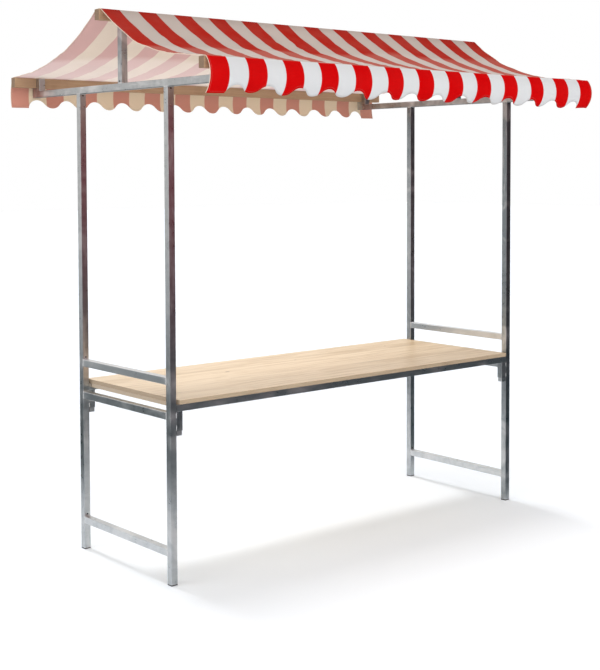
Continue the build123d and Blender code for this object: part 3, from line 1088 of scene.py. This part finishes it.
    def edgings(self, section, settings, columns, look):
        """The rolled tape along the canopy's two gable edges."""
        roll, inset, steps = 1.3 * MM, 1.2 * MM, 240
        made = []
        for side, hand in SIDES.items():
            x = columns[0] if hand < 0 else columns[-1]
            curve = bpy.data.curves.new(f"{side}_edging", "CURVE")
            curve.dimensions = "3D"
            curve.bevel_depth, curve.bevel_resolution = roll, 2
            curve.use_fill_caps = True
            spline = curve.splines.new("POLY")
            spline.points.add(steps)
            for step in range(steps + 1):
                distance = section.whole * step / steps
                point, normal = section.at(distance)
                point = point + normal * (self.relief(section, x, distance) - settings.cloth / 2)
                spline.points[step].co = (x - hand * inset, point.x, point.y, 1.0)
            drawn = bpy.data.objects.new("drawn", curve)
            mesh = bpy.data.meshes.new_from_object(drawn)
            bpy.data.objects.remove(drawn)
            bm = bmesh.new()
            bm.from_mesh(mesh)
            bpy.data.meshes.remove(mesh)
            bmesh.ops.remove_doubles(bm, verts=bm.verts, dist=TOUCHING)
            bmesh.ops.recalc_face_normals(bm, faces=bm.faces)
            made.append(piece_from(bm, f"{side}_gable_edging", [look], "striped_canvas"))
        return made


class STALL_OT_studio(bpy.types.Operator):
    """Set up the floor, the soft lamps and the camera"""
    bl_idname = "stall.studio"
    bl_label = "Studio"

    def execute(self, context):
        studio = context.scene.stall.studio
        self.floor(studio)
        self.surroundings(context.scene, studio)
        self.surround()
        for name, strength, towards, spread in LAMPS:
            self.lamp(name, getattr(studio, strength), towards, spread)
        self.camera(context.scene, studio)
        context.scene.view_settings.view_transform = "Standard"
        return {"FINISHED"}

    def seen(self, look):
        """1 for rays from the camera, a mirror or through glass, and 0 for the rest."""
        node = look.add("ShaderNodeLightPath")
        camera, glossy, clear = (Signal(look, node.outputs[name]) for name in
                                 ("Is Camera Ray", "Is Glossy Ray", "Is Transmission Ray"))
        return camera.larger(glossy.larger(clear))

    def floor(self, studio):
        """A pale matt floor, a little brighter where it is seen, and brighter still towards the
        front, by painted light that fades the canopy's shadow there.
        """
        half_width, front_edge, softness, glow = 40.0, -0.83, 0.5, 0.24
        bm = bmesh.new()
        bmesh.ops.create_grid(bm, x_segments=1, y_segments=1, size=half_width)
        look = Look(bpy.data.materials.new("pale floor"))
        seen = self.seen(look)
        shade = look.signal("ShaderNodeVectorMath", {"operation": "SCALE"},
                            {0: studio.floor, "Scale": 1.0 + seen * studio.floor_lift})
        matt = look.signal("ShaderNodeBsdfDiffuse", None, {"Color": shade})
        y = look.parts(look.place())[1]
        # Painted light: an emission that whitens the floor in front, over the canopy's shadow.
        front = 1.0 - y.above(front_edge, softness)
        lift = look.signal("ShaderNodeEmission", None,
                           {"Color": (1.0, 1.0, 1.0), "Strength": seen * front * glow})
        both = look.signal("ShaderNodeAddShader", None, {0: matt, 1: lift})
        floor = piece_from(bm, "studio_floor", [look.finish(both)], smooth=False)

    def surroundings(self, scene, studio):
        """Soft light all round, and plain white wherever the surroundings are seen."""
        look = Look(bpy.data.worlds.new("soft white room"))
        strength = self.seen(look) * (1.0 - studio.ambient) + studio.ambient
        light = look.signal("ShaderNodeBackground", None,
                            {"Color": (1.0, 1.0, 1.0), "Strength": strength})
        look.add("ShaderNodeOutputWorld", None, {"Surface": light})
        scene.world = look.owner

    def surround(self):
        """A dull floor and wall round the stage that only mirrors see, for contrast in the steel."""
        wall_radius, steps = 7.6, 64
        profile = ((1.0, 0.01), (2.3, 0.01), (4.0, 0.01), (7.0, 0.01), (wall_radius, 0.3),
                   (wall_radius, 1.4), (wall_radius, 2.6), (wall_radius, 4.2))

        def place(column, row):
            turn = 2 * math.pi * column / steps
            radius, height = profile[row]
            return Vector((radius * math.sin(turn), radius * math.cos(turn), height))

        bm = bmesh.new()
        placed_grid(bm, steps + 1, len(profile), place)
        bmesh.ops.remove_doubles(bm, verts=bm.verts, dist=1 * MM)
        look = Look(bpy.data.materials.new("surround"))
        x, y, z = look.parts(look.place())
        away = (x * x + y * y) ** 0.5
        # The wall is pale but for its front right, which is dim and turns rosy towards the front.
        front_right = ((x - y) / (away * 1.414)).above(0.45, 0.5)
        rosy = 1.0 - (x / away).above(0.62, 0.3)
        dim = look.mix(rosy, (0.075, 0.07, 0.07), (0.32, 0.075, 0.09))
        wall = look.mix(front_right, (0.87, 0.84, 0.81), dim)
        # The ground is dark near the stall, and grey by the wall but for the front right.
        ground = look.mix(front_right, (0.05, 0.07, 0.078), (0.065, 0.095, 0.105))
        far = look.mix(front_right, (0.52, 0.55, 0.57), (0.05, 0.045, 0.05))
        ground = look.mix(away.above(6.4, 1.5), ground, far)
        shade = look.mix(z.above(0.75, 0.9), ground, wall)
        # Close to the stall the ground is nearly clear, so that the floor below it is mirrored.
        near = (1.0 - away.above(2.02 - front_right * 0.8, 0.5)) * 0.88
        glow = look.signal("ShaderNodeEmission", None, {"Color": shade, "Strength": 1.0})
        clear = look.signal("ShaderNodeBsdfTransparent")
        both = look.signal("ShaderNodeMixShader", None, {0: near, 1: glow, 2: clear})
        surround = piece_from(bm, "studio_surround", [look.finish(both)], smooth=False)
        surround.visible_camera = surround.visible_diffuse = surround.visible_shadow = False
        surround.visible_transmission = False

    def lamp(self, name, strength, towards, spread):
        """A soft distant light that comes from one direction, spread over an angle."""
        data = bpy.data.lights.new(name, "SUN")
        data.angle, data.energy = spread, strength
        lamp = bpy.data.objects.new(name, data)
        bpy.context.scene.collection.objects.link(lamp)
        away, towards = 5.0, Vector(towards)
        lamp.location = away * towards
        lamp.rotation_euler = towards.to_track_quat("Z", "Y").to_euler()

    def camera(self, scene, studio):
        """A camera at standing height, in front of the stall and to its left."""
        data = bpy.data.cameras.new("camera")
        sensor_width, farthest = 36.0, 200.0
        data.sensor_width, data.clip_end = sensor_width, farthest
        data.lens, data.shift_y = studio.lens, studio.rise
        camera = bpy.data.objects.new("camera", data)
        scene.collection.objects.link(camera)
        yaw, pitch, roll = studio.heading, studio.pitch, studio.roll
        ahead = Vector((math.sin(yaw) * math.cos(pitch), math.cos(yaw) * math.cos(pitch),
                        math.sin(pitch)))
        level = Vector((math.cos(yaw), -math.sin(yaw), 0.0))
        upward = level.cross(ahead)
        right = level * math.cos(roll) + upward * math.sin(roll)
        up = upward * math.cos(roll) - level * math.sin(roll)
        pose = Matrix((right, up, -ahead)).transposed().to_4x4()
        camera.matrix_world = Matrix.Translation(studio.eye) @ pose
        scene.camera = camera


class STALL_PT_panel(bpy.types.Panel):
    """The market stall's operators and settings"""
    bl_idname = "STALL_PT_panel"
    bl_label = "Market stall"
    bl_space_type = "VIEW_3D"
    bl_region_type = "UI"
    bl_category = "Market stall"

    def draw(self, context):
        for operator in OPERATORS:
            self.layout.operator(operator.bl_idname)
        stall = context.scene.stall
        for group in (stall.canopy, stall.steel, stall.wood, stall.foot, stall.studio):
            box = self.layout.box()
            for name in group.__annotations__:
                box.prop(group, name)


OPERATORS = (STALL_OT_frame, STALL_OT_welds, STALL_OT_vents, STALL_OT_table, STALL_OT_battens,
             STALL_OT_feet, STALL_OT_canopy, STALL_OT_studio)
CLASSES = (CanopySettings, SteelSettings, WoodSettings, FootSettings, StudioSettings,
           StallSettings, *OPERATORS, STALL_PT_panel)


def register():
    for kind in CLASSES:
        bpy.utils.register_class(kind)
    bpy.types.Scene.stall = PointerProperty(type=StallSettings)


def unregister():
    del bpy.types.Scene.stall
    for kind in reversed(CLASSES):
        bpy.utils.unregister_class(kind)


def main():
    """Dress the stall."""
    register()
    bpy.ops.stall.frame()
    bpy.ops.stall.welds()
    bpy.ops.stall.vents()
    bpy.ops.stall.table()
    bpy.ops.stall.battens()
    bpy.ops.stall.feet()
    bpy.ops.stall.canopy()
    bpy.ops.stall.studio()


if __name__ == "__main__":
    main()
